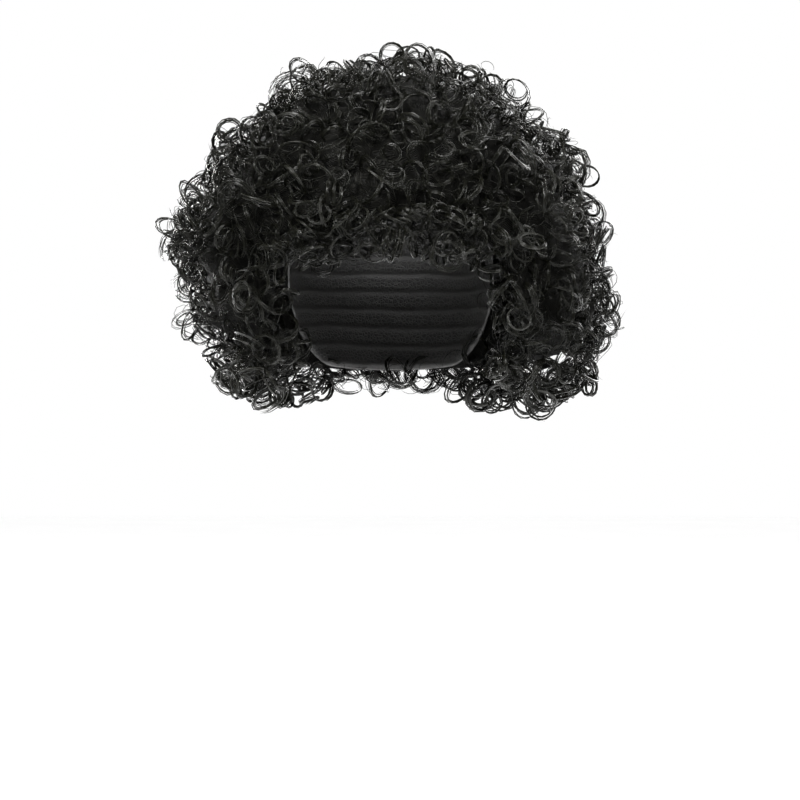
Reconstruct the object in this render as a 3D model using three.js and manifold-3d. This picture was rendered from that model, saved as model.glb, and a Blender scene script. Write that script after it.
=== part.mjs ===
// A curly afro wig: a soft net cap for an average adult head, and the curls that it carries in six sections.
// Millimetres, +Z up. The face looks along -Y, and +X is the wearer's left.
// The origin is the inside of the cap at the crown, where the wig sits on the head.

import * as THREE from 'three';
import { mergeVertices } from 'three/addons/utils/BufferGeometryUtils.js';
import Module from 'manifold-3d';

const wasm = await Module();
wasm.setup();

// The head that the cap fits
const headBreadth = 152;
const headLength = 195;
const headHeight = 228; // crown to chin
const templeDrop = 105; // crown to the widest level of the head

// The cap
const capWall = 1.6;
const foreheadDrop = 52; // crown to the front hairline
const earDrop = 90; // crown to the edge above the ear
const tabDrop = 112; // crown to the tip of the tab before the ear
const napeDrop = 162; // crown to the edge at the nape

// The hair, over the cap and without its outer curls
const seatGap = 0.3; // between the cap and the hair
const hairRise = 45; // over the crown
const hairDrop = 175; // from the crown down to the lower edge
const hairSide = 68; // beyond the side of the head
const hairFront = 27; // beyond the forehead
const hairBack = 48; // beyond the back of the head
const partingGap = 0.5; // between two sections of hair
const crownLine = 6; // from the crown down to the parting under the crown section
const napeLine = 98; // from the crown down to the parting over the nape section
const fringeAngle = 30; // each way from the face to the partings beside the fringe, in degrees
const backAngle = 46; // each way from the back to the partings beside the back, in degrees

// The face opening
const faceWidth = 160;
const fringeLine = 72; // crown to the fringe's lower edge, without the curls that hang from it
const archDrop = 50; // from the fringe's edge down to where the sides of the opening run straight
const faceDepth = 96; // from the front of the head back to the end of the opening

// The curls. A size is a share of curlRadius and curlThickness.
const curlSpacing = 54;
const archSpacing = 38; // between the curls round the face
const curlRadius = 17; // of the ring that a curl makes
const curlThickness = 25; // of the lock at its root
const curlTip = 0.5; // thickness of the tip, as a share of the root's
const curlWind = 0.25; // how far a ring winds inwards, as a share of its radius
const curlTurns = 1.05;
const curlRise = 0.6; // from root to tip along a curl's axis, as a share of its thickness
const curlSink = 0.2; // depth of a curl's middle under the hair's surface, as a share of its radius
const curlSizes = { least: 0.75, most: 1.2 };
const curlLeans = { least: 5, most: 55 }; // of a ring's axis from the surface's normal, in degrees
const curlSeed = 7;

// Facets
const ringPoints = 24;
const domeRows = 6;
const archPoints = 7;
const edgePoints = 26;
const curlSides = 5;
const curlSteps = 6;

// Powers of the head's dome and of all level sections, where 2 is an ellipse
const domePower = 2.25;
const planPower = 2.15;

// Head below its widest level. Drop is a share of the way down to the chin, and the reaches are shares
// of the widest section.
const lowerHead = [
  { drop: 0.22, side: 0.97, front: 0.98, back: 0.93 },
  { drop: 0.42, side: 0.9, front: 0.96, back: 0.84 },
  { drop: 0.62, side: 0.82, front: 0.94, back: 0.72 },
  { drop: 1.0, side: 0.76, front: 0.9, back: 0.64 },
];

// The cap's edge from the side, hairline to nape. Place is a share of half the head's length from the crown,
// and drop is in millimetres.
const capEdge = [
  { place: -1.2, drop: foreheadDrop },
  { place: -0.78, drop: foreheadDrop },
  { place: -0.5, drop: (foreheadDrop + tabDrop) / 2 },
  { place: -0.38, drop: tabDrop },
  { place: -0.24, drop: tabDrop },
  { place: -0.1, drop: (tabDrop + earDrop) / 2 },
  { place: 0.14, drop: earDrop },
  { place: 0.38, drop: (earDrop + napeDrop) / 2 },
  { place: 0.62, drop: napeDrop },
  { place: 1.2, drop: napeDrop },
];

// Hair from its lower edge to its top. Height is a share of hairRise over the crown, or of hairDrop below it
// where it is negative. Left and right are the wearer's, and all four are shares of the hair's widest reach.
const hairSections = [
  { height: -1.0, left: 0.66, right: 0.56, front: 0.42, back: 0.52 },
  { height: -0.96, left: 0.9, right: 0.73, front: 0.66, back: 0.74 },
  { height: -0.86, left: 1.03, right: 0.85, front: 0.84, back: 0.88 },
  { height: -0.72, left: 1.03, right: 0.91, front: 0.92, back: 0.96 },
  { height: -0.55, left: 1.01, right: 1.0, front: 0.98, back: 1.0 },
  { height: -0.38, left: 0.97, right: 1.02, front: 1.0, back: 1.0 },
  { height: -0.22, left: 0.9, right: 0.9, front: 0.97, back: 0.94 },
  { height: -0.07, left: 0.77, right: 0.74, front: 0.88, back: 0.84 },
  { height: 0.2, left: 0.63, right: 0.62, front: 0.75, back: 0.71 },
  { height: 0.56, left: 0.49, right: 0.49, front: 0.59, back: 0.55 },
  { height: 0.86, left: 0.32, right: 0.33, front: 0.4, back: 0.37 },
  { height: 1.0, left: 0, right: 0, front: 0, back: 0 },
];

const black = { color: 0x0b0b0a, metalness: 0 };
const hairMaterial = new THREE.MeshStandardMaterial({ ...black, roughness: 0.45 });
const netMaterial = new THREE.MeshStandardMaterial({ ...black, roughness: 0.9 });

const axisX = new THREE.Vector3(1, 0, 0);
const axisY = new THREE.Vector3(0, 1, 0);
const axisZ = new THREE.Vector3(0, 0, 1);

// Random numbers that are the same on each run
function randomSource(seed) {
  let state = seed;
  return () => {
    state = (state * 1664525 + 1013904223) % 4294967296;
    return state / 4294967296;
  };
}

function between({ least, most }, share) {
  return THREE.MathUtils.lerp(least, most, share);
}

// Solids from geometry, and back
function solidOf(geometry) {
  const bare = geometry.clone();
  bare.deleteAttribute('normal');
  bare.deleteAttribute('uv');
  const merged = mergeVertices(bare, 1e-4);
  return new wasm.Manifold(
    new wasm.Mesh({
      numProp: 3,
      vertProperties: merged.attributes.position.array,
      triVerts: new Uint32Array(merged.index.array),
    }),
  );
}

function geometryOf(solid) {
  const mesh = solid.getMesh();
  const geometry = new THREE.BufferGeometry();
  geometry.setAttribute('position', new THREE.BufferAttribute(mesh.vertProperties, 3));
  geometry.setIndex(new THREE.BufferAttribute(mesh.triVerts, 1));
  geometry.computeVertexNormals();
  return geometry;
}

function union(solids) {
  return solids.reduce((whole, solid) => whole.add(solid));
}

function largestBody(solid) {
  const bodies = solid.decompose();
  return bodies.reduce((best, body) => (body.volume() > best.volume() ? body : best));
}

// A closed skin over rings of equally many points. Each ring runs anticlockwise, seen from the next one.
function loft(rings) {
  const count = rings[0].length;
  const points = rings.flat();
  const middleOf = (ring) => ring.reduce((sum, p) => sum.add(p), new THREE.Vector3()).divideScalar(count);
  const first = points.push(middleOf(rings[0])) - 1;
  const last = points.push(middleOf(rings.at(-1))) - 1;
  const faces = [];
  for (let i = 0; i < count; i++) {
    const j = (i + 1) % count;
    for (let k = 0; k < rings.length - 1; k++) {
      const low = k * count;
      const high = low + count;
      faces.push(low + i, low + j, high + j, low + i, high + j, high + i);
    }
    const top = (rings.length - 1) * count;
    faces.push(first, j, i, last, top + i, top + j);
  }
  return new THREE.BufferGeometry().setFromPoints(points).setIndex(faces);
}

// One point of a level section whose four reaches differ
function sectionPoint({ left, right, front, back, z }, turn) {
  const across = Math.cos(turn);
  const along = Math.sin(turn);
  const rounded = (value) => Math.sign(value) * Math.abs(value) ** (2 / planPower);
  return new THREE.Vector3(
    rounded(across) * (across > 0 ? left : right),
    rounded(along) * (along > 0 ? back : front),
    z,
  );
}

function sectionRing(section) {
  return Array.from({ length: ringPoints }, (_, i) => sectionPoint(section, (2 * Math.PI * i) / ringPoints));
}

// The head's form, grown outwards by an offset, from the crown to below the lowest hair
function headForm(offset) {
  const side = headBreadth / 2 + offset;
  const half = headLength / 2 + offset;
  const lower = lowerHead.map((row) => ({
    z: -templeDrop - row.drop * (headHeight - templeDrop),
    left: (headBreadth / 2) * row.side + offset,
    right: (headBreadth / 2) * row.side + offset,
    front: (headLength / 2) * row.front + offset,
    back: (headLength / 2) * row.back + offset,
  }));
  const dome = Array.from({ length: domeRows }, (_, i) => {
    const rise = (Math.PI / 2) * (i / domeRows);
    const share = Math.cos(rise) ** (2 / domePower);
    const z = -templeDrop + (templeDrop + offset) * Math.sin(rise) ** (2 / domePower);
    return { z, left: side * share, right: side * share, front: half * share, back: half * share };
  });
  const crown = { z: offset, left: 0, right: 0, front: 0, back: 0 };
  const below = { ...lower.at(-1), z: -headHeight - hairDrop };
  return loft([below, ...lower.reverse(), ...dome, crown].map(sectionRing));
}

// An outline drawn in the plane of two axes, pushed along their cross product from a start
function plate(shape, across, up, depth, start) {
  const geometry = new THREE.ExtrudeGeometry(shape, { depth, bevelEnabled: false });
  const along = new THREE.Vector3().crossVectors(across, up);
  geometry.applyMatrix4(new THREE.Matrix4().makeBasis(across, up, along));
  return geometry.translate(...along.multiplyScalar(start).toArray());
}

// Everything under the cap's edge
function underCapEdge() {
  const floor = -headHeight - hairDrop;
  const stations = capEdge.map(({ place, drop }) => new THREE.Vector2((place * headLength) / 2, -drop));
  const edge = new THREE.SplineCurve(stations).getPoints(edgePoints);
  const corners = [new THREE.Vector2(edge.at(-1).x, floor), new THREE.Vector2(edge[0].x, floor)];
  return plate(new THREE.Shape([...edge, ...corners]), axisY, axisZ, headBreadth * 2, -headBreadth);
}

function netCap() {
  const wall = solidOf(headForm(capWall)).subtract(solidOf(headForm(0)));
  return largestBody(wall.subtract(solidOf(underCapEdge())));
}

// The arch round the face, up the wearer's right side, under the fringe and down the left side
const archFoot = -2 * hairDrop;
const faceArch = new THREE.Path();
faceArch.moveTo(-faceWidth / 2, archFoot);
faceArch.lineTo(-faceWidth / 2, -fringeLine - archDrop);
faceArch.quadraticCurveTo(-faceWidth / 2, -fringeLine, 0, -fringeLine);
faceArch.quadraticCurveTo(faceWidth / 2, -fringeLine, faceWidth / 2, -fringeLine - archDrop);
faceArch.lineTo(faceWidth / 2, archFoot);

// The way from the face to the front
function faceOpening() {
  const shape = new THREE.Shape(faceArch.getPoints(archPoints));
  return plate(shape, axisX, axisZ, headLength + hairFront, headLength / 2 - faceDepth);
}

// The hair's outer surface, without its curls
const reach = {
  side: headBreadth / 2 + hairSide,
  front: headLength / 2 + hairFront,
  back: headLength / 2 + hairBack,
};
const hairLevels = hairSections.map((row) => ({
  z: row.height * (row.height > 0 ? hairRise : hairDrop),
  left: row.left * reach.side,
  right: row.right * reach.side,
  front: row.front * reach.front,
  back: row.back * reach.back,
}));

// A level by its place in the table, also between two rows
function hairLevel(place) {
  const index = Math.min(Math.floor(place), hairLevels.length - 2);
  const share = place - index;
  const mixed = {};
  for (const key of Object.keys(hairLevels[0])) {
    mixed[key] = THREE.MathUtils.lerp(hairLevels[index][key], hairLevels[index + 1][key], share);
  }
  return mixed;
}

function hairPlace(z) {
  const above = hairLevels.findIndex((level) => level.z > z);
  const [low, high] = [hairLevels[above - 1], hairLevels[above]];
  return above - 1 + (z - low.z) / (high.z - low.z);
}

function hairNormal(place, turn) {
  const step = 0.02;
  const span = 0.4;
  const around = sectionPoint(hairLevel(place), turn + step).sub(sectionPoint(hairLevel(place), turn - step));
  const low = sectionPoint(hairLevel(Math.max(place - span, 0)), turn);
  const high = sectionPoint(hairLevel(Math.min(place + span, hairLevels.length - 1)), turn);
  return around.cross(high.sub(low)).normalize();
}

// A curl: a ring that starts at its root and winds inwards and along its axis
class Curl extends THREE.Curve {
  constructor(middle, axis, rootward, radius, rise) {
    super();
    Object.assign(this, { middle, axis, rootward, radius, rise });
    this.sideward = new THREE.Vector3().crossVectors(axis, rootward);
  }
  getPoint(share, target = new THREE.Vector3()) {
    const angle = share * curlTurns * 2 * Math.PI;
    const radius = this.radius * (1 - curlWind * share);
    return target
      .copy(this.middle)
      .addScaledVector(this.rootward, radius * Math.cos(angle))
      .addScaledVector(this.sideward, radius * Math.sin(angle))
      .addScaledVector(this.axis, this.rise * (share - 0.5));
  }
}

function lock(curve, thickness) {
  const frames = curve.computeFrenetFrames(curlSteps, false);
  const rings = frames.normals.map((normal, i) => {
    const share = i / curlSteps;
    const radius = (thickness / 2) * THREE.MathUtils.lerp(1, curlTip, share);
    const middle = curve.getPointAt(share);
    return Array.from({ length: curlSides }, (_, k) => {
      const turn = (2 * Math.PI * k) / curlSides;
      return middle
        .clone()
        .addScaledVector(normal, radius * Math.cos(turn))
        .addScaledVector(frames.binormals[i], radius * Math.sin(turn));
    });
  });
  return solidOf(loft(rings));
}

// A curl that is rooted under a point of the surface, its axis leaning at random from the normal
function curlAt(point, normal, random) {
  const anyway = new THREE.Vector3(random() - 0.5, random() - 0.5, random() - 0.5).normalize();
  const tangent = anyway.addScaledVector(normal, -anyway.dot(normal)).normalize();
  const lean = THREE.MathUtils.degToRad(between(curlLeans, random()));
  const axis = normal.clone().multiplyScalar(Math.cos(lean)).addScaledVector(tangent, Math.sin(lean));
  const rootward = normal.clone().negate();
  rootward.addScaledVector(axis, -rootward.dot(axis)).normalize();
  const size = between(curlSizes, random());
  const radius = curlRadius * size;
  const thickness = curlThickness * size;
  const middle = point.clone().addScaledVector(normal, -radius * curlSink);
  return lock(new Curl(middle, axis, rootward, radius, thickness * curlRise), thickness);
}

// True in front of the face, where the fringe's lower edge and the sides of the opening leave no hair
function inFaceOpening({ x, y, z }) {
  const beside = Math.abs(x) < faceWidth / 2 + curlRadius;
  return beside && z < curlRadius - fringeLine && y < faceDepth - headLength / 2;
}

// Curls over the whole surface, in level rows, each set off by half a space from the one below
function surfaceCurls(random) {
  const steps = 120;
  const jitter = 0.3;
  const lastPlace = hairLevels.length - 1;
  const places = Array.from({ length: steps + 1 }, (_, i) => (lastPlace * i) / steps);
  const side = places.map((place) => sectionPoint(hairLevel(place), 0));
  const runs = [0];
  for (let i = 1; i <= steps; i++) runs.push(runs[i - 1] + side[i].distanceTo(side[i - 1]));
  const rowCount = Math.max(3, Math.round(runs[steps] / curlSpacing));
  const curls = [];
  for (let row = 0; row < rowCount; row++) {
    const run = ((row + 0.5) / rowCount) * runs[steps];
    const place = places[runs.findIndex((length) => length >= run)];
    const level = hairLevel(place);
    const around = Math.PI * Math.sqrt((level.left + level.right) * (level.front + level.back));
    const count = Math.max(3, Math.round(around / curlSpacing));
    for (let i = 0; i < count; i++) {
      const turn = (2 * Math.PI * (i + (row % 2) / 2 + jitter * (random() - 0.5))) / count;
      const point = sectionPoint(level, turn);
      if (!inFaceOpening(point)) curls.push(curlAt(point, hairNormal(place, turn), random));
    }
  }
  return curls;
}

// Curls round the face, along the edge between the hair's surface and the arch
function archCurls(random) {
  const count = Math.round(faceArch.getLength() / archSpacing);
  const curls = [];
  for (const { x, y: z } of faceArch.getSpacedPoints(count)) {
    if (z < -hairDrop) continue;
    const place = hairPlace(z);
    const level = hairLevel(place);
    const across = x / (x > 0 ? level.left : level.right);
    const along = -((1 - Math.abs(across) ** planPower) ** (1 / planPower));
    const point = new THREE.Vector3(x, along * level.front, z);
    const inwards = new THREE.Vector3(-x, 0, -faceWidth / 2).normalize();
    const normal = hairNormal(place, Math.atan2(along, across)).add(inwards).normalize();
    curls.push(curlAt(point, normal, random));
  }
  return curls;
}

function hairMass() {
  const random = randomSource(curlSeed);
  const envelope = solidOf(loft(hairLevels.map(sectionRing))).subtract(solidOf(faceOpening()));
  const mass = union([envelope, ...surfaceCurls(random), ...archCurls(random)]);
  return mass.subtract(solidOf(headForm(capWall + seatGap)));
}

// The space of one section, between two upright partings and two levels. Turns are from the face, in degrees.
function sectionSpace(fromTurn, toTurn, low, high) {
  const far = 4 * (reach.side + reach.back);
  const half = THREE.MathUtils.degToRad((toTurn - fromTurn) / 2);
  const middle = THREE.MathUtils.degToRad((toTurn + fromTurn) / 2 - 90);
  const tip = partingGap / 2 / Math.sin(half);
  const corner = (distance, turn) => [
    tip * Math.cos(middle) + distance * Math.cos(middle + turn),
    tip * Math.sin(middle) + distance * Math.sin(middle + turn),
  ];
  const shape = new THREE.Shape();
  shape.moveTo(...corner(0, 0));
  shape.lineTo(...corner(far, -half));
  shape.lineTo(...corner(far, half));
  return plate(shape, axisX, axisY, high - low, low);
}

function crownSpace() {
  const wide = 4 * (reach.side + reach.back);
  const box = new THREE.BoxGeometry(wide, wide, wide);
  return box.translate(0, 0, wide / 2 - crownLine + partingGap / 2);
}

// The sections, by name
const under = -2 * hairDrop;
const crownFloor = -crownLine - partingGap / 2;
const napeTop = -napeLine - partingGap / 2;
const backFloor = -napeLine + partingGap / 2;
const sections = {
  crown_curls: crownSpace(),
  fringe_curls: sectionSpace(-fringeAngle, fringeAngle, under, crownFloor),
  left_side_curls: sectionSpace(fringeAngle, 180 - backAngle, under, crownFloor),
  right_side_curls: sectionSpace(180 + backAngle, 360 - fringeAngle, under, crownFloor),
  back_curls: sectionSpace(180 - backAngle, 180 + backAngle, backFloor, crownFloor),
  nape_curls: sectionSpace(180 - backAngle, 180 + backAngle, under, napeTop),
};

const wig = new THREE.Group();

function addPiece(name, solid, material) {
  const mesh = new THREE.Mesh(geometryOf(solid), material);
  mesh.name = name;
  wig.add(mesh);
}

addPiece('net_cap', netCap(), netMaterial);
const mass = hairMass();
for (const [name, space] of Object.entries(sections)) {
  addPiece(name, largestBody(mass.intersect(solidOf(space))), hairMaterial);
}

export default wig;
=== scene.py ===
# A curly afro wig on its net cap: a dark mass of hair with painted shade in its colour, the layers of
# curls over it, and the cap.
# Metres, in the frame of the imported model: +Z up, the face looks along -Y, and +X is the wearer's left.
import math

import bpy
import numpy as np
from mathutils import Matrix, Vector, noise
from mathutils.bvhtree import BVHTree


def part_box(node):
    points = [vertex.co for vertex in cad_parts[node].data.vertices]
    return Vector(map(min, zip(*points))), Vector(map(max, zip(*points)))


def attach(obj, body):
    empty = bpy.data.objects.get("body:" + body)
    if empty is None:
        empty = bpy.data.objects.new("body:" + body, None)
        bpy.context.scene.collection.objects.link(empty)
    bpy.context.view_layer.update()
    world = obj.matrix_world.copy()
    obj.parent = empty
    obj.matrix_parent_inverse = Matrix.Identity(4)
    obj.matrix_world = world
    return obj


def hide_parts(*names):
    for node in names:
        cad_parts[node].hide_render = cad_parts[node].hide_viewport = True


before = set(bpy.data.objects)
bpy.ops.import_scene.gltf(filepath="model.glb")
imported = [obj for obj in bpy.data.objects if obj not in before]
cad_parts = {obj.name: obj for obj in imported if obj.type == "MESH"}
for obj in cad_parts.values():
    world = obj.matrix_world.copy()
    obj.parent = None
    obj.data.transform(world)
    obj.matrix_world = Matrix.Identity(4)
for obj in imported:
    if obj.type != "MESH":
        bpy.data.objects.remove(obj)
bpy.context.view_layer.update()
capNode = "net_cap"
hairNodes = [node for node in sorted(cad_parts) if node != capNode]


class Wire:
    # A socket on its way through a material, so that maths on it can be written as Python
    def __init__(self, material, socket):
        self.material = material
        self.socket = socket

    def maths(self, operation, *values):
        return self.material.node("Math", {"operation": operation}, dict(enumerate(values)))

    def cosine(self):
        return self.maths("COSINE", self)

    def __add__(self, other):
        return self.maths("ADD", self, other)

    def __radd__(self, other):
        return self.maths("ADD", other, self)

    def __sub__(self, other):
        return self.maths("SUBTRACT", self, other)

    def __rsub__(self, other):
        return self.maths("SUBTRACT", other, self)

    def __mul__(self, other):
        return self.maths("MULTIPLY", self, other)

    def __rmul__(self, other):
        return self.maths("MULTIPLY", other, self)

    def __pow__(self, other):
        return self.maths("POWER", self, other)


class Material:
    def __init__(self, name, kind=bpy.data.materials):
        self.made = kind.new(name)
        self.made.use_nodes = True
        self.tree = self.made.node_tree
        self.tree.nodes.clear()

    # One node: its type, its settings, which are set first, and the values or wires of its sockets
    def node(self, kind, settings=None, sockets=None, out=0):
        made = self.tree.nodes.new("ShaderNode" + kind)
        for name, value in (settings or {}).items():
            setattr(made, name, value)
        for name, value in (sockets or {}).items():
            if isinstance(value, Wire):
                self.tree.links.new(value.socket, made.inputs[name])
            else:
                made.inputs[name].default_value = value
        return Wire(self, made.outputs[out]) if made.outputs else None

    def mix(self, share, first, second):
        colours = {"Factor": share, 6: (*first, 1.0), 7: (*second, 1.0)}
        return self.node("Mix", {"data_type": "RGBA"}, colours, out=2)

    def place(self):
        return self.node("TexCoord", out=3)

    def noise(self, scale, detail=2.0, vector=None, out=0):
        sockets = {"Vector": vector or self.place(), "Scale": scale, "Detail": detail}
        return self.node("TexNoise", {}, sockets, out)

    def finish(self, **sockets):
        named = {name.replace("_", " "): value for name, value in sockets.items()}
        shader = self.node("BsdfPrincipled", {}, named)
        self.node("OutputMaterial", {}, {"Surface": shader})
        return self.made


fibreLook = {
    "dark": (0.0015, 0.0015, 0.0008),
    "light": (0.005, 0.0051, 0.0034),
    "toneScale": 55,
    "toneDetail": 3.0,
    "roughness": 0.25,
    "roughnessSpread": 0.16,
    "specular": 0.15,
    "streakScale": 2600,
    "streakDepth": 0.00008,
}


def fibreMaterial():
    material = Material("curly_fibre")
    tone = material.noise(fibreLook["toneScale"], fibreLook["toneDetail"])
    streaks = material.noise(fibreLook["streakScale"])
    bump = material.node("Bump", {}, {"Distance": fibreLook["streakDepth"], "Height": streaks})
    return material.finish(
        Base_Color=material.mix(tone, fibreLook["dark"], fibreLook["light"]),
        Roughness=fibreLook["roughness"] + fibreLook["roughnessSpread"] * (tone - 0.5),
        Specular_IOR_Level=fibreLook["specular"],
        Normal=bump,
    )


# Colours of the deep hair under the curls, darker than the fibres': the hair is real, and its extra
# darkness is painted shade between the curls
shadedMassLook = {
    "dark": (0.0007, 0.0007, 0.0005),
    "light": (0.0034, 0.0033, 0.0026),
    "curlScale": 48,  # cells for each metre, one curl in each
    "warpScale": 70,
    "warp": 0.016,
    "ringWaves": 130,  # how fast the rings of fibre follow each other across a cell
    "ringDepth": 0.0005,
    "roughness": 0.55,
    "specular": 0.04,
}


# Rings of fibre round the middle of each curl, on deep hair coloured darker than the curls' fibres as
# painted shade
def shadedMassMaterial():
    material = Material("deep_hair_painted_shade")
    place = material.place()
    warp = material.noise(shadedMassLook["warpScale"], vector=place, out=1)
    pushed = material.node("VectorMath", {"operation": "SCALE"}, {0: warp, "Scale": shadedMassLook["warp"]})
    warped = material.node("VectorMath", {"operation": "ADD"}, {0: place, 1: pushed})
    cells = material.node("TexVoronoi", {}, {"Vector": warped, "Scale": shadedMassLook["curlScale"]})
    ring = (cells * shadedMassLook["ringWaves"]).cosine() * 0.5 + 0.5
    bump = material.node("Bump", {}, {"Distance": shadedMassLook["ringDepth"], "Height": ring})
    return material.finish(
        Base_Color=material.mix(ring, shadedMassLook["dark"], shadedMassLook["light"]),
        Roughness=shadedMassLook["roughness"],
        Specular_IOR_Level=shadedMassLook["specular"],
        Normal=bump,
    )


netLook = {
    "thread": (0.017, 0.0165, 0.0155),
    "hole": (0.0025, 0.0025, 0.0025),
    "cells": 380,
    "threadWidth": 0.2,
    "threadRelief": 0.4,  # of the threads, as a share of the rows' relief
    "weftEvery": 0.013,  # metres between the rows of sewn hair
    "weftSharpness": 3.0,
    "sag": 2.0,  # of the rows, in radians of their spacing
    "sagScale": 16.0,
    "weft": (0.0155, 0.015, 0.014),
    "stitches": 700,
    "depth": 0.0004,
    "roughness": 0.6,
}


# A fine elastic net with rows of hair sewn on it
def netMaterial():
    material = Material("elastic_net")
    place = material.place()
    height = material.node("SeparateXYZ", {}, {0: place}, out=2)
    cells = {"Vector": place, "Scale": netLook["cells"]}
    edges = material.node("TexVoronoi", {"feature": "DISTANCE_TO_EDGE"}, cells)
    limits = {"Value": edges, "From Min": netLook["threadWidth"], "From Max": 0.0}
    thread = material.node("MapRange", {"interpolation_type": "SMOOTHSTEP"}, limits)
    sag = material.noise(netLook["sagScale"], vector=place)
    phase = height * (math.pi / netLook["weftEvery"]) + sag * netLook["sag"]
    wave = phase.cosine()
    weft = (wave * wave) ** netLook["weftSharpness"]
    stitch = material.noise(netLook["stitches"], vector=place)
    cloth = material.mix(thread, netLook["hole"], netLook["thread"])
    sewn = material.mix(stitch, netLook["hole"], netLook["weft"])
    colour = material.node("Mix", {"data_type": "RGBA"}, {"Factor": weft, 6: cloth, 7: sewn}, out=2)
    relief = weft * (stitch + 1.0) + thread * netLook["threadRelief"] * (1.0 - weft)
    bump = material.node("Bump", {}, {"Distance": netLook["depth"], "Height": relief})
    return material.finish(Base_Color=colour, Roughness=netLook["roughness"], Normal=bump)


fibre = fibreMaterial()
deepHairShaded = shadedMassMaterial()
net = netMaterial()
print("materials made")


# Arrays from a mesh, and a mesh from arrays
def meshArrays(mesh):
    points = np.empty(len(mesh.vertices) * 3)
    mesh.vertices.foreach_get("co", points)
    mesh.calc_loop_triangles()
    triangles = np.empty(len(mesh.loop_triangles) * 3, int)
    mesh.loop_triangles.foreach_get("vertices", triangles)
    return points.reshape(-1, 3), triangles.reshape(-1, 3)


# A piece from its parts, each with its points, triangles and material.
# The places are those of the triangles' corners on the map that textures are baked through.
def pieceFrom(name, parts, places=None):
    offsets = np.cumsum([0] + [len(points) for points, _, _ in parts])
    points = np.concatenate([points for points, _, _ in parts])
    triangles = np.concatenate([faces + offset for (_, faces, _), offset in zip(parts, offsets)])
    mesh = bpy.data.meshes.new(name)
    mesh.vertices.add(len(points))
    mesh.vertices.foreach_set("co", points.ravel())
    mesh.loops.add(triangles.size)
    mesh.polygons.add(len(triangles))
    mesh.polygons.foreach_set("loop_start", np.arange(len(triangles)) * 3)
    mesh.loops.foreach_set("vertex_index", triangles.ravel())
    mesh.polygons.foreach_set("use_smooth", np.ones(len(triangles), bool))
    looks = list(dict.fromkeys(material for _, _, material in parts))
    for material in looks:
        mesh.materials.append(material)
    indices = [np.full(len(faces), looks.index(material)) for _, faces, material in parts]
    mesh.polygons.foreach_set("material_index", np.concatenate(indices))
    if places is not None:
        mesh.uv_layers.new(name="OFBake").uv.foreach_set("vector", places.ravel())
    mesh.update()
    mesh.validate()
    piece = bpy.data.objects.new(name, mesh)
    bpy.context.scene.collection.objects.link(piece)
    return piece


def unit(vectors):
    return vectors / np.maximum(np.linalg.norm(vectors, axis=-1, keepdims=True), 1e-12)


def treeOf(nodes):
    points = []
    triangles = []
    for node in nodes:
        nodePoints, nodeTriangles = meshArrays(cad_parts[node].data)
        triangles.append(nodeTriangles + sum(len(earlier) for earlier in points))
        points.append(nodePoints)
    return BVHTree.FromPolygons(np.concatenate(points).tolist(), np.concatenate(triangles).tolist())


massShape = {
    "voxel": 0.0045,
    "smoothings": 3,
    "massVoxel": 0.009,
    "massSmoothings": 4,
    "inset": 0.010,  # from the hair's surface in to the dark mass
    "cover": 0.008,  # a face this near another piece is covered by it
    "across": 0.2,  # a face that sees another piece this near looks into the hollow
    "blends": 3,  # rounds of averaging between open and covered faces
}


def averaged(values, edges, times):
    for _ in range(times):
        total = values.copy()
        count = np.ones(len(values))
        for near, far in ((0, 1), (1, 0)):
            np.add.at(total, edges[:, near], values[edges[:, far]])
            np.add.at(count, edges[:, near], 1)
        values = total / (count[:, None] if values.ndim > 1 else count)
    return values


# All the hair as one rounded skin, and how far each point of it is open to the outside or to the hollow
def roundedSkin(voxel, smoothings):
    arrays = [meshArrays(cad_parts[node].data) for node in hairNodes]
    piece = pieceFrom("rounding", [(*array, fibre) for array in arrays])
    remesh = piece.modifiers.new("remesh", "REMESH")
    remesh.mode = "VOXEL"
    remesh.voxel_size = voxel
    graph = bpy.context.evaluated_depsgraph_get()
    mesh = bpy.data.meshes.new_from_object(piece.evaluated_get(graph))
    bpy.data.objects.remove(piece)
    points, triangles = meshArrays(mesh)
    edges = np.empty(len(mesh.edges) * 2, int)
    mesh.edges.foreach_get("vertices", edges)
    edges = edges.reshape(-1, 2)
    points = averaged(points, edges, smoothings)
    mesh.vertices.foreach_set("co", points.ravel())
    mesh.update()
    normals = np.empty(len(points) * 3)
    mesh.vertex_normals.foreach_get("vector", normals)
    normals = normals.reshape(-1, 3)
    bpy.data.meshes.remove(mesh)
    others = treeOf([capNode])
    everything = treeOf(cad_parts)
    openness = np.zeros(len(points))
    inwards = np.zeros(len(points))
    for index, (point, normal) in enumerate(zip(points, normals)):
        start = Vector(point)
        along = Vector(normal)
        if others.ray_cast(start, along, massShape["cover"])[0] is None:
            openness[index] = 1.0
            beyond = start + along * massShape["cover"]
            if everything.ray_cast(beyond, along, massShape["across"])[0] is not None:
                inwards[index] = 1.0
    return {
        "points": points,
        "triangles": triangles,
        "normals": normals,
        "openness": averaged(openness, edges, massShape["blends"]),
        "inwards": averaged(inwards, edges, massShape["blends"]),
    }


# Smooth noise at each point, from -1 to 1
def noiseAt(points, scale):
    return np.array([noise.noise(Vector(point) * scale) for point in points])


spreading = {
    "evenness": 0.72,  # least distance between two points, as a share of the spacing in a square grid
    "tries": 12,  # for each point that is wanted
    "mostly": 0.5,  # above this share a face counts as open, and a point as looking into the hollow
    "unused": 9.0,  # a place far from the wig, for points not yet found
}


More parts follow.
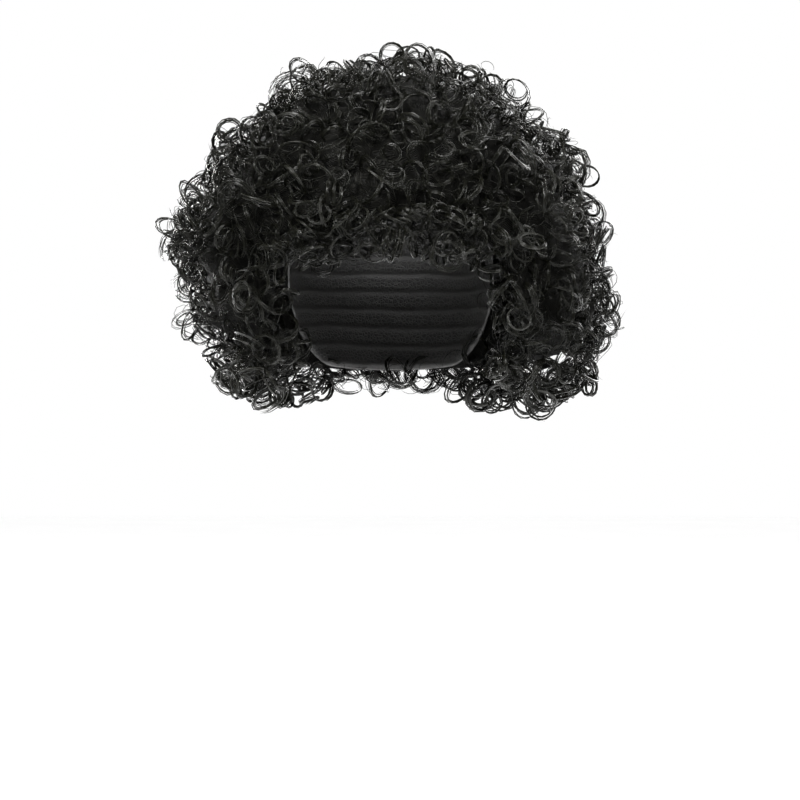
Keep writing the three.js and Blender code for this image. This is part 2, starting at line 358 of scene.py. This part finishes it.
# Even points on the open faces of a skin, their normals, and whether they look into the hollow
def spreadPoints(skin, count, random, region):
    corners = skin["points"][skin["triangles"]]
    crossed = np.cross(corners[:, 1] - corners[:, 0], corners[:, 2] - corners[:, 0])
    areas = np.linalg.norm(crossed, axis=1) / 2
    weights = areas * (skin["openness"][skin["triangles"]].mean(axis=1) > spreading["mostly"])
    middles = corners.mean(axis=1)
    middles[:, 0] = abs(middles[:, 0])
    weights = weights * np.all((middles > region["low"]) & (middles < region["high"]), axis=1)
    spacing = spreading["evenness"] * math.sqrt(weights.sum() / count)
    picks = random.choice(len(weights), count * spreading["tries"], p=weights / weights.sum())
    shares = random.dirichlet((1, 1, 1), len(picks))
    places = np.einsum("ij,ijk->ik", shares, corners[picks])
    directions = unit(np.einsum("ij,ijk->ik", shares, skin["normals"][skin["triangles"][picks]]))
    hollow = np.einsum("ij,ij->i", shares, skin["inwards"][skin["triangles"][picks]])
    kept = np.full((count, 3), spreading["unused"])
    chosen = []
    for index, place in enumerate(places):
        if len(chosen) == count:
            break
        if np.min(np.sum((kept - place) ** 2, axis=1)) > spacing**2:
            kept[len(chosen)] = place
            chosen.append(index)
    return places[chosen], directions[chosen], hollow[chosen]


# Curls stand out in tufts, further in one place than in another
tufts = {
    "height": 0.009,  # how far curls are moved out or in where the noise is strongest
    "scale": 34,
}
strandShape = {
    "hollowMargin": 0.002,  # a curl that would reach into the hollow stays this far under the surface
    "lockSpread": 0.1,  # of the sizes of the locks in one curl
    "growthPower": 1.5,  # how late a curl turns to the size of its end
    "rootBand": 1.15,  # width of the band of locks at a curl's start, as a share of the width that is set
    "narrowing": 0.5,  # of that share, by a curl's end
    "waves": 9,  # of a strand along its length, in radians
    "tip": 0.06,  # cut off at both ends of the half wave that a strand tapers by, as a share of it
    "taperPower": 0.5,
}


# The middle lines of the strands of many curls.
# Each curl is wound about an axis that leans away from the surface's normal.
def curlPaths(places, directions, hollow, shape, random):
    count = len(places)
    directions = unit(directions + np.array((0, 0, -1)) * shape["droop"])
    pick = lambda limits: random.uniform(*limits, count)
    radius = pick(shape["radius"])
    turns = pick(shape["turns"])
    pitch = pick(shape["pitch"])
    lean = np.radians(pick(shape["lean"]))[:, None]
    lift = tufts["height"] * shape["tufted"] * noiseAt(places, tufts["scale"])
    hidden = hollow > spreading["mostly"]
    depth = np.where(hidden, radius + strandShape["hollowMargin"], pick(shape["depth"]) - lift)
    anyway = unit(random.normal(size=(count, 3)))
    tangents = unit(anyway - directions * np.sum(anyway * directions, axis=1, keepdims=True))
    axes = directions * np.cos(lean) + tangents * np.sin(lean)
    rootward = unit(-directions + axes * np.sum(axes * directions, axis=1, keepdims=True))
    sideward = np.cross(axes, rootward)
    sense = random.choice((-1.0, 1.0), count)
    oval = pick(shape["oval"])
    endSize = pick(shape["endSize"])
    middles = places - directions * depth[:, None] + axes * (pitch * turns * shape["proud"])[:, None]

    strands = shape["strands"]
    each = lambda values: np.repeat(values, strands, axis=0)
    column = lambda values: np.asarray(values)[:, None]
    total = count * strands
    share = np.linspace(0, 1, shape["pathPoints"])[None, :]
    # The strands of a curl keep to a few tight locks
    locks = random.uniform(-1, 1, (count, shape["locks"]))
    lockSizes = 1 + random.normal(0, strandShape["lockSpread"], (count, shape["locks"]))
    lock = np.tile(np.arange(strands) % shape["locks"], count)
    owner = np.repeat(np.arange(count), strands)
    strandTurns = each(sense * turns) * random.normal(1, shape["endSpread"], total)
    angle = column(strandTurns) * share * 2 * math.pi
    angle = angle + column(random.normal(0, shape["twistSpread"], total))
    growth = 1 + (column(each(endSize)) - 1) * share ** strandShape["growthPower"]
    growth = growth + column(random.normal(0, shape["uneven"], total)) * np.sin(share * math.pi * 2)
    sizes = each(radius) * lockSizes[owner, lock] * random.normal(1, shape["sizeSpread"], total)
    reach = column(sizes) * growth
    across = column(locks[owner, lock] * shape["band"] + random.normal(0, shape["lockWidth"], total))
    along = column(each(pitch * turns)) * (share - 0.5)
    along = along + across * (strandShape["rootBand"] - strandShape["narrowing"] * share)
    wobble = column(random.uniform(0, 2 * math.pi, total))
    along = along + shape["wave"] * np.sin(share * strandShape["waves"] + wobble)
    paths = (
        each(middles)[:, None, :]
        + each(rootward)[:, None, :] * (reach * np.cos(angle) * column(each(oval)))[..., None]
        + each(sideward)[:, None, :] * (reach * np.sin(angle))[..., None]
        + each(axes)[:, None, :] * along[..., None]
    )
    tip = strandShape["tip"]
    taper = np.sin(math.pi * (tip + (1 - 2 * tip) * share)) ** strandShape["taperPower"]
    thickness = column(random.uniform(*shape["thickness"], total)) * taper
    return paths, thickness / 2, each(axes)


# Three-sided tubes along paths, pointed at both ends, and the faces of one laid flat in a unit square
def tubes(paths, radii, references):
    count, length = radii.shape
    tangents = unit(np.gradient(paths, axis=1))
    first = unit(np.cross(tangents, references[:, None, :]))
    second = np.cross(tangents, first)
    turns = 2 * math.pi * np.arange(3) / 3
    ring = first[:, 1:-1, None, :] * np.cos(turns)[None, None, :, None]
    ring = ring + second[:, 1:-1, None, :] * np.sin(turns)[None, None, :, None]
    rings = paths[:, 1:-1, None, :] + ring * radii[:, 1:-1, None, None]
    rows = length - 2
    points = np.concatenate([paths[:, :1], rings.reshape(count, rows * 3, 3), paths[:, -1:]], axis=1)
    last = 3 * rows + 1
    faces = []
    flat = []
    for corner in range(3):
        following = (corner + 1) % 3
        near = corner / 3
        far = near + 1 / 3
        step = 1 / (rows + 1)
        faces.append((0, 1 + following, 1 + corner))
        flat.append(((near + 1 / 6, 0), (far, step), (near, step)))
        faces.append((last, last - 3 + corner, last - 3 + following))
        flat.append(((near + 1 / 6, 1), (near, 1 - step), (far, 1 - step)))
        for row in range(rows - 1):
            low = 1 + 3 * row
            here = step * (row + 1)
            faces.append((low + corner, low + following, low + 3 + following))
            flat.append(((near, here), (far, here), (far, here + step)))
            faces.append((low + corner, low + 3 + following, low + 3 + corner))
            flat.append(((near, here), (far, here + step), (near, here + step)))
    steps = np.arange(count)[:, None, None] * (last + 1)
    return points.reshape(-1, 3), (np.array(faces)[None] + steps).reshape(-1, 3), np.array(flat)


bakeMap = {
    "margin": 0.05,  # round the faces in a cell of the map
    "massShare": 0.25,  # of the map's width that the dark mass takes, beside its ringlets
    "tubeTallness": 11,  # of the cell for a tube, as a multiple of its width
}


# The places of flat faces in a grid of cells, which fills the map from one side to the other
def gridPlaces(flat, triangles, side, other, tall):
    margin = bakeMap["margin"]
    count = len(triangles) // len(flat)
    columns = math.ceil(math.sqrt(count * tall * (other - side)))
    rows = math.ceil(count / columns)
    size = np.array(((other - side) / columns, 1 / rows))
    cells = np.arange(count)
    starts = np.stack([cells % columns, cells // columns], axis=-1) * size + (side, 0)
    return (starts[:, None, None] + (margin + (1 - 2 * margin) * flat) * size).reshape(-1, 3, 2)


# Which hair node each place is nearest to
def ownersOf(places):
    trees = [treeOf([node]) for node in hairNodes]
    owners = []
    for place in places:
        distances = [tree.find_nearest(Vector(place))[3] for tree in trees]
        owners.append(distances.index(min(distances)))
    return np.array(owners)


# The lower edge of the sides, where the mass is drawn in and the curls hang free
lowerEdge = {
    "massHeights": (-0.135, -0.175),  # between these the mass is drawn in more and more
    "curlHeights": (-0.155, -0.17),  # the same for ringlets that are left out
    "sides": (0.035, 0.07),  # the same from the middle outwards
    "inset": 0.010,
    "uneven": 0.9,  # of the inset, as a share of it
    "unevenScale": 38,
}


# From 0 in the upper hair and at the nape to 1 at the lower edge of the sides
def lowness(points, heights):
    start, end = heights
    near, far = lowerEdge["sides"]
    down = np.clip((points[:, 2] - start) / (end - start), 0, 1)
    aside = np.clip((abs(points[:, 0]) - near) / (far - near), 0, 1)
    return down * aside


# One layer of curls over the whole wig, as the tubes that belong to each hair node
def curlLayer(shape):
    random = np.random.default_rng(shape["seed"])
    spread = spreadPoints(wholeSkin, shape["count"], random, shape["region"])
    owners = ownersOf(spread[0])
    paths, radii, axes = curlPaths(*spread, shape, random)
    leftOut = shape["thinned"] * lowness(spread[0], lowerEdge["curlHeights"])
    thinned = random.random(len(owners)) < leftOut
    owners = np.repeat(np.where(thinned, -1, owners), shape["strands"])
    curls = {}
    for index, node in enumerate(hairNodes):
        own = owners == index
        curls[node] = tubes(paths[own], radii[own], axes[own])
    return curls


# Regions of the hair by their lowest and highest corners, where x counts the same on both sides
everywhere = {"low": (0, -1, -1), "high": (1, 1, 1)}
lowerSides = {"low": (0.05, -1, -1), "high": (1, 1, -0.16)}
fringeEdge = {"low": (0, -1, -0.1), "high": (0.056, -0.098, -0.06)}
ringlets = {
    "seed": 5,
    "region": everywhere,
    "thinned": 0.6,  # share that is left out at the lower edge of the sides
    "count": 1130,
    "pathPoints": 15,
    "strands": 8,
    "locks": 3,
    "radius": (0.0055, 0.0118),
    "turns": (1.0, 1.6),
    "oval": (0.75, 1.15),  # of the two sides of a curl
    "endSize": (0.85, 1.25),  # of a curl's end, as a share of its start
    "uneven": 0.03,
    "pitch": (0.0035, 0.009),
    "lean": (10, 85),  # of a curl's axis from straight out, in degrees
    "droop": 0.15,
    "depth": (0.000, 0.008),  # of a curl's middle under the surface
    "tufted": 1.0,  # share of the tufts' height that the curls follow
    "proud": 0.0,  # how far a curl is moved out along its axis, as a share of its length
    "thickness": (0.0004, 0.00074),
    "band": 0.0014,  # half the width of the band that the locks of a curl make
    "lockWidth": 0.00025,
    "endSpread": 0.06,
    "twistSpread": 0.08,
    "sizeSpread": 0.025,
    "wave": 0.0005,
}
looseLoops = {
    "seed": 23,
    "region": everywhere,
    "thinned": 0.0,
    "count": 230,
    "pathPoints": 19,
    "strands": 5,
    "locks": 2,
    "radius": (0.0075, 0.0135),
    "turns": (1.0, 1.8),
    "oval": (0.5, 1.15),
    "endSize": (0.5, 1.0),
    "uneven": 0.06,
    "pitch": (0.002, 0.008),
    "lean": (50, 88),
    "droop": 0.2,
    "depth": (-0.007, 0.001),
    "tufted": 1.0,
    "proud": 0.0,
    "thickness": (0.0005, 0.001),
    "band": 0.0009,
    "lockWidth": 0.0003,
    "endSpread": 0.05,
    "twistSpread": 0.06,
    "sizeSpread": 0.03,
    "wave": 0.0004,
}
hangingCurls = {
    "seed": 31,
    "region": lowerSides,
    "thinned": 0.0,
    "count": 78,
    "pathPoints": 19,
    "strands": 5,
    "locks": 2,
    "radius": (0.006, 0.0115),
    "turns": (1.2, 2.0),
    "oval": (0.7, 1.2),
    "endSize": (0.7, 1.1),
    "uneven": 0.04,
    "pitch": (0.003, 0.007),
    "lean": (15, 90),
    "droop": 2.0,
    "depth": (-0.014, -0.001),
    "tufted": 0.0,
    "proud": 0.2,
    "thickness": (0.0008, 0.0014),
    "band": 0.0008,
    "lockWidth": 0.0003,
    "endSpread": 0.04,
    "twistSpread": 0.06,
    "sizeSpread": 0.03,
    "wave": 0.0004,
}
edgeCurls = {
    "seed": 53,
    "region": fringeEdge,
    "thinned": 0.0,
    "count": 90,
    "pathPoints": 15,
    "strands": 5,
    "locks": 2,
    "radius": (0.0052, 0.0098),
    "turns": (1.1, 1.7),
    "oval": (0.7, 1.2),
    "endSize": (0.7, 1.1),
    "uneven": 0.04,
    "pitch": (0.003, 0.007),
    "lean": (20, 90),
    "droop": 1.6,
    "depth": (-0.012, -0.001),
    "tufted": 0.0,
    "proud": 0.1,
    "thickness": (0.0004, 0.00075),
    "band": 0.001,
    "lockWidth": 0.0003,
    "endSpread": 0.05,
    "twistSpread": 0.08,
    "sizeSpread": 0.03,
    "wave": 0.0004,
}
frizz = {
    "seed": 41,
    "region": everywhere,
    "thinned": 0.0,
    "count": 1500,
    "pathPoints": 12,
    "strands": 1,
    "locks": 1,
    "radius": (0.003, 0.009),
    "turns": (0.5, 1.3),
    "oval": (0.6, 1.2),
    "endSize": (0.6, 1.4),
    "uneven": 0.1,
    "pitch": (0.002, 0.012),
    "lean": (20, 88),
    "droop": 0.0,
    "depth": (-0.004, 0.004),
    "tufted": 1.0,
    "proud": 0.0,
    "thickness": (0.0003, 0.0005),
    "band": 0.0,
    "lockWidth": 0.0,
    "endSpread": 0.1,
    "twistSpread": 0.5,
    "sizeSpread": 0.1,
    "wave": 0.001,
}


# A closed copy of a node, as its corners come with a point for each face
def closedCopy(node):
    points, triangles = meshArrays(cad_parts[node].data)
    points, places = np.unique(np.round(points, 6), axis=0, return_inverse=True)
    triangles = places.reshape(-1)[triangles]
    return pieceFrom("cutter", [(points, triangles, deepHairShaded)])


# The dark mass under the curls, darker than them as painted shade: the skin moved in, and cut where the
# hair nodes part
def darkMass():
    skin = roundedSkin(massShape["massVoxel"], massShape["massSmoothings"])
    lumps = noiseAt(skin["points"], lowerEdge["unevenScale"])
    lowInset = lowerEdge["inset"] * (1 + lowerEdge["uneven"] * lumps)
    inset = massShape["inset"] + lowInset * lowness(skin["points"], lowerEdge["massHeights"])
    inner = skin["points"] - skin["normals"] * (inset * skin["openness"])[:, None]
    whole = pieceFrom("whole_mass", [(inner, skin["triangles"], deepHairShaded)])
    cut = whole.modifiers.new("cut", "BOOLEAN")
    cut.operation = "INTERSECT"
    cut.solver = "MANIFOLD"
    masses = {}
    for node in hairNodes:
        cutter = closedCopy(node)
        cut.object = cutter
        graph = bpy.context.evaluated_depsgraph_get()
        mesh = bpy.data.meshes.new_from_object(whole.evaluated_get(graph))
        masses[node] = meshArrays(mesh)
        bpy.data.meshes.remove(mesh)
        bpy.data.objects.remove(cutter)
    bpy.data.objects.remove(whole)
    return masses


wholeSkin = roundedSkin(massShape["voxel"], massShape["smoothings"])
masses = darkMass()
print("skin of", len(wholeSkin["points"]), "points")
print("masses of", [len(mass[1]) for mass in masses.values()], "triangles")
shapes = {
    "ringlets": ringlets,
    "loose_loops": looseLoops,
    "hanging_curls": hangingCurls,
    "edge_curls": edgeCurls,
    "frizz": frizz,
}
layers = {layer: curlLayer(shape) for layer, shape in shapes.items()}
for node in hairNodes:
    for layer, curls in layers.items():
        points, triangles, flat = curls[node]
        if not len(triangles):
            continue
        parts = [(points, triangles, fibre)]
        massShare = bakeMap["massShare"] if layer == "ringlets" else 0.0
        places = [gridPlaces(flat, triangles, massShare, 1.0, bakeMap["tubeTallness"])]
        if layer == "ringlets":
            parts.append((*masses[node], deepHairShaded))
            corner = np.array([[(0, 0), (1, 0), (0, 1)]])
            places.append(gridPlaces(corner, masses[node][1], 0.0, massShare, 1))
        piece = pieceFrom(node.replace("curls", layer), parts, np.concatenate(places))
        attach(piece, "root")
        if layer == "ringlets":
            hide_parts(node)
        print(piece.name, len(piece.data.polygons), "triangles")


capShape = {
    "wall": 0.0016,
    "columns": 96,
    "rows": 42,
    "middle": 0.6,  # height of the point that the cap is swept round, as a share of the way up the cap
    "smoothings": 3,
    "lowest": -88,  # of the directions in which the cap is looked for, in degrees above level
    "highest": 45,
    "step": 2.0,
    "halvings": 12,  # of the last step, to find the rim
    "nearTop": 89.9,  # straight up, a hit can slip between two faces
}


# The cap: its inner face is found from the middle of the head, then rounded off and given its wall
def netCap():
    low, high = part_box(capNode)
    middle = (low + high) / 2
    middle.z = low.z + (high.z - low.z) * capShape["middle"]
    tree = treeOf([capNode])

    def distance(turn, lift):
        level = math.cos(lift)
        direction = Vector((math.cos(turn) * level, math.sin(turn) * level, math.sin(lift)))
        return tree.ray_cast(middle, direction)[3]

    columns = capShape["columns"]
    rows = capShape["rows"]
    lifts = np.empty((columns, rows))
    reaches = np.empty((columns, rows))
    turns = np.arange(columns) * 2 * math.pi / columns
    steps = np.radians(np.arange(capShape["lowest"], capShape["highest"], capShape["step"]))
    for column, turn in enumerate(turns):
        hits = [lift for lift in steps if distance(turn, lift) is not None]
        inside = hits[0] if hits else math.radians(capShape["highest"])
        outside = inside - math.radians(capShape["step"])
        for _ in range(capShape["halvings"]):
            lift = (inside + outside) / 2
            if distance(turn, lift) is None:
                outside = lift
            else:
                inside = lift
        lifts[column] = np.linspace(inside, math.radians(90), rows)
        nearTop = math.radians(capShape["nearTop"])
        reaches[column] = [distance(turn, min(lift, nearTop)) for lift in lifts[column]]
    for _ in range(capShape["smoothings"]):
        reaches[:, 1:-1] = (reaches[:, :-2] + reaches[:, 2:] + 2 * reaches[:, 1:-1]) / 4
        reaches = (np.roll(reaches, 1, 0) + np.roll(reaches, -1, 0) + 2 * reaches) / 4
    directions = np.stack(
        [
            np.cos(turns)[:, None] * np.cos(lifts),
            np.sin(turns)[:, None] * np.cos(lifts),
            np.sin(lifts),
        ],
        axis=-1,
    )
    inner = np.array(middle) + directions * reaches[..., None]
    outer = np.array(middle) + directions * (reaches + capShape["wall"])[..., None]
    points = np.concatenate([inner.reshape(-1, 3), outer.reshape(-1, 3)])
    faces = []
    size = columns * rows
    for column in range(columns):
        following = (column + 1) % columns
        for row in range(rows - 1):
            a = column * rows + row
            b = following * rows + row
            faces += [(a, a + 1, b), (b, a + 1, b + 1)]
            faces += [(size + a, size + b, size + a + 1), (size + b, size + b + 1, size + a + 1)]
        a = column * rows
        b = following * rows
        faces += [(a, b, size + b), (a, size + b, size + a)]
    return points, np.array(faces)


capPiece = pieceFrom("net_cap_shell", [(*netCap(), net)])
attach(capPiece, "root")
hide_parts(capNode)
print("cap made")


studio = {
    "middle": Vector((0.0063, 0.0, -0.1876)),  # what the middle of the picture shows
    "width": 0.56,  # of the picture, at the middle
    "lens": 100.0,
    "sensor": 36.0,
    "floor": -0.9,
    "floorReach": 12.0,
    "paper": (0.98, 0.98, 0.98),
    "paperShade": 0.97,  # of the paper's darkest grain, as a share of its colour
    "paperGrain": 4.0,
    "paperRoughness": 0.9,
    "world": 1.0,
    "gamma": 0.8,
    "aim": Vector((0, 0, -0.08)),  # of every lamp
}


def makeCamera():
    data = bpy.data.cameras.new("camera")
    data.lens = studio["lens"]
    data.sensor_width = studio["sensor"]
    camera = bpy.data.objects.new("camera", data)
    distance = studio["width"] * studio["lens"] / studio["sensor"]
    camera.location = studio["middle"] + Vector((0, -distance, 0))
    camera.rotation_euler = (math.radians(90), 0, 0)
    bpy.context.scene.collection.objects.link(camera)
    bpy.context.scene.camera = camera


def makeFloor():
    reach = studio["floorReach"]
    sides = ((-1, -1), (1, -1), (1, 1), (-1, 1))
    corners = [(reach * x, reach * y, studio["floor"]) for x, y in sides]
    material = Material("paper")
    grain = material.noise(studio["paperGrain"])
    shade = tuple(studio["paperShade"] * value for value in studio["paper"])
    colour = material.mix(grain, shade, studio["paper"])
    paper = material.finish(Base_Color=colour, Roughness=studio["paperRoughness"])
    pieceFrom("paper_floor", [(np.array(corners), np.array([(0, 1, 2), (0, 2, 3)]), paper)])


lamps = {
    "key_light": {"place": (-1.0, -1.4, 1.2), "size": 0.45, "power": 240},
    "fill_light": {"place": (1.3, -1.2, 0.8), "size": 0.6, "power": 130},
    "top_light": {"place": (0.1, 0.1, 1.6), "size": 0.6, "power": 60},
    "back_light": {"place": (1.0, 1.5, 0.8), "size": 1.2, "power": 70},
    "back_fill": {"place": (-0.8, 1.7, 0.1), "size": 1.0, "power": 80},
}


def makeLights():
    sky = Material("studio", bpy.data.worlds)
    light = sky.node("Background", {}, {"Color": (1, 1, 1, 1), "Strength": studio["world"]})
    sky.node("OutputWorld", {}, {"Surface": light})
    bpy.context.scene.world = sky.made
    for name, lamp in lamps.items():
        data = bpy.data.lights.new(name, "AREA")
        data.energy = lamp["power"]
        data.size = lamp["size"]
        light = bpy.data.objects.new(name, data)
        light.location = lamp["place"]
        direction = studio["aim"] - light.location
        light.rotation_euler = direction.to_track_quat("-Z", "Y").to_euler()
        bpy.context.scene.collection.objects.link(light)


makeCamera()
makeFloor()
makeLights()
bpy.context.scene.view_settings.view_transform = "Standard"
bpy.context.scene.view_settings.gamma = studio["gamma"]
print("studio made")

bpy.context.view_layer.update()
